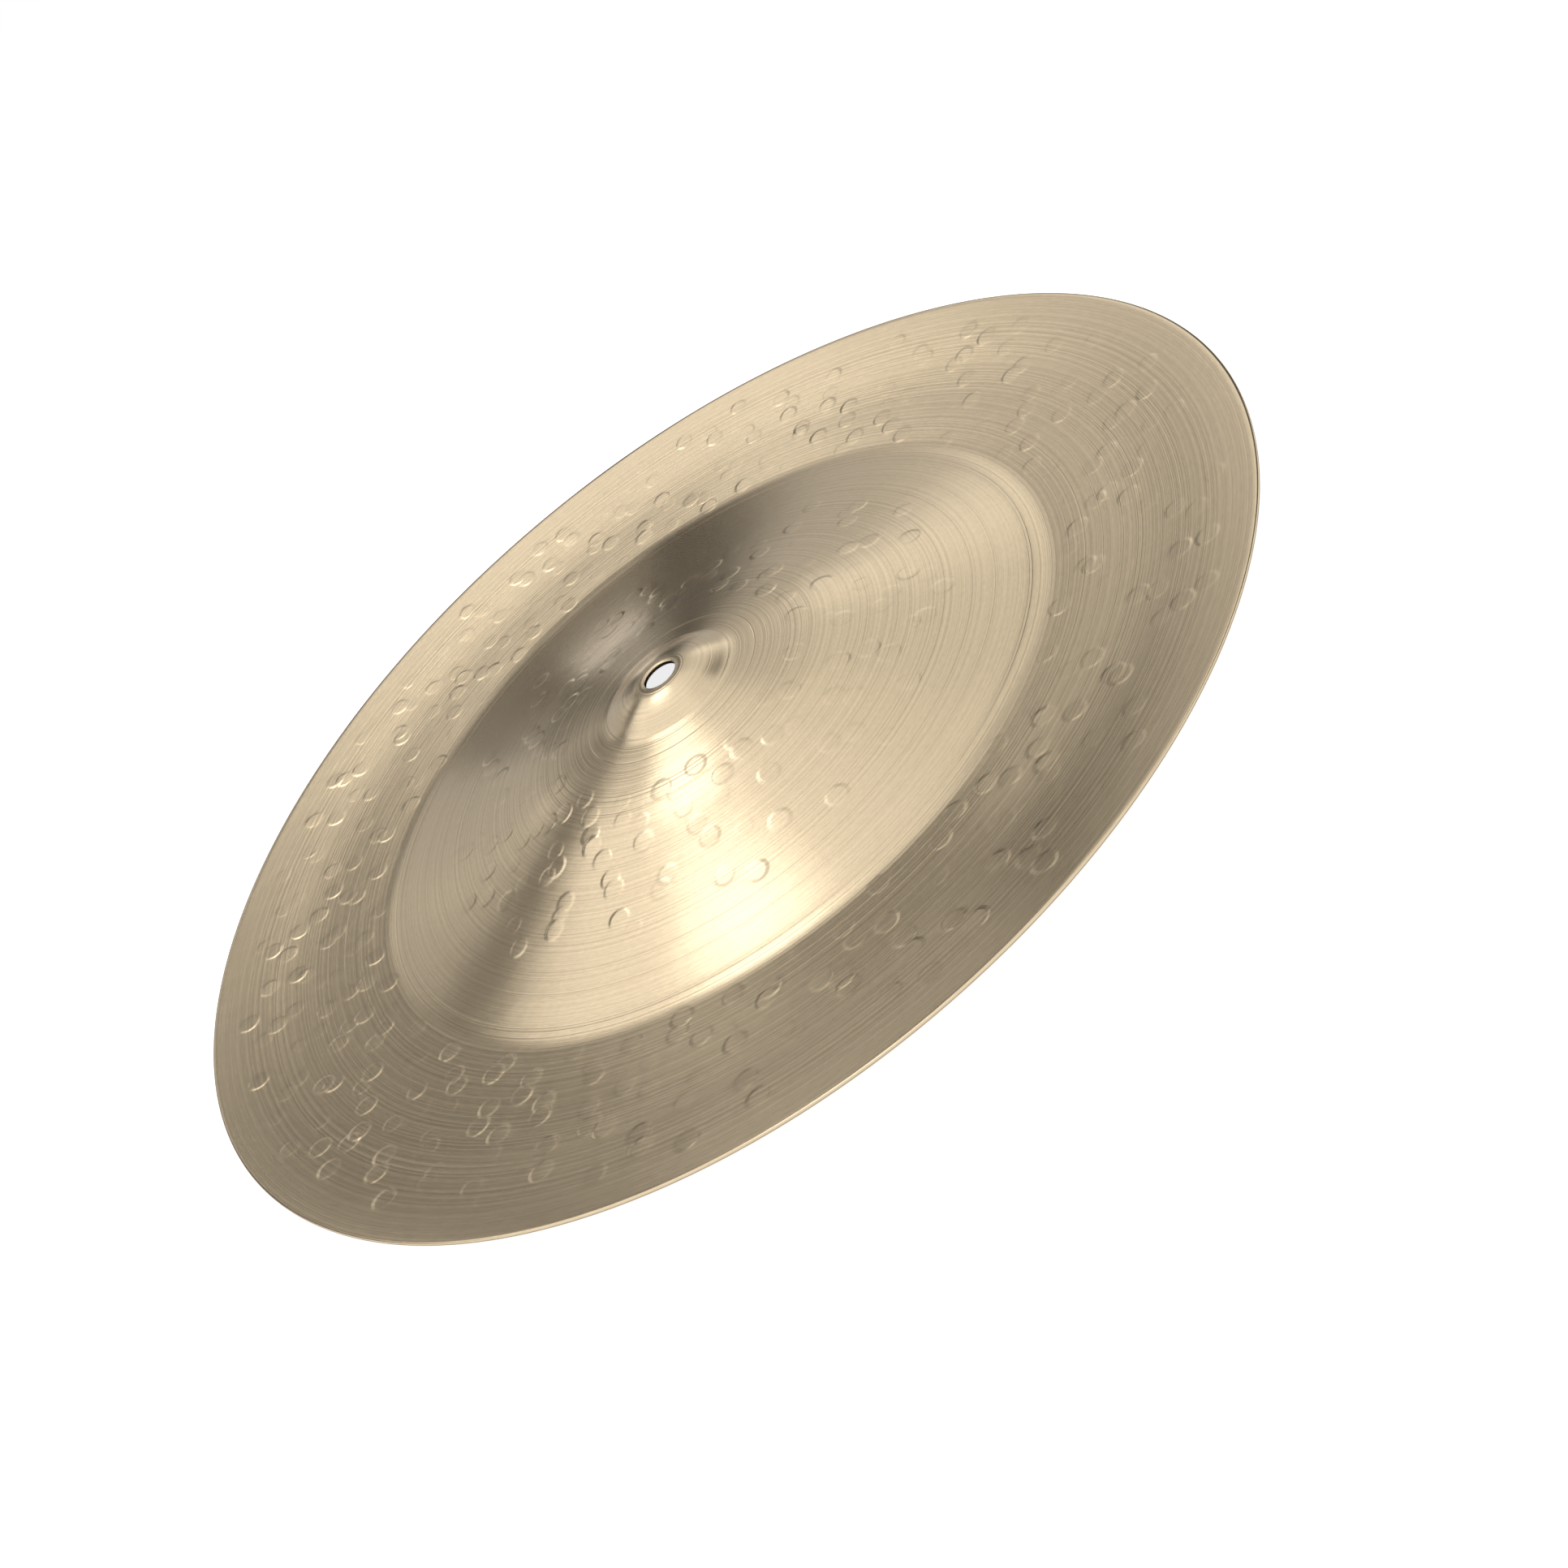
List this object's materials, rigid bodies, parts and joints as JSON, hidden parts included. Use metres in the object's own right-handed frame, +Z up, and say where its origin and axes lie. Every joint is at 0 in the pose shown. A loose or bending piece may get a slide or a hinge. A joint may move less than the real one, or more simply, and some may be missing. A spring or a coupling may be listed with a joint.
{
  "type": "china cymbal",
  "caption": "Hammered and turned bronze china cymbal: low domed cup, bow falling to a rounded bend, upturned flange, centre hole.",
  "frame": {"origin": "on the axis of the disc, on the plane that the underside of the bend rests on", "axes": "+Z up along the axis, out of the cup's crown; X and Y across the disc, which is round"},
  "size_m": [0.4572, 0.4572, 0.0256],
  "materials": {
    "bronze": "satin"
  },
  "bodies": {
    "root": {"cymbal": "bronze"}
  },
  "joints": []
}
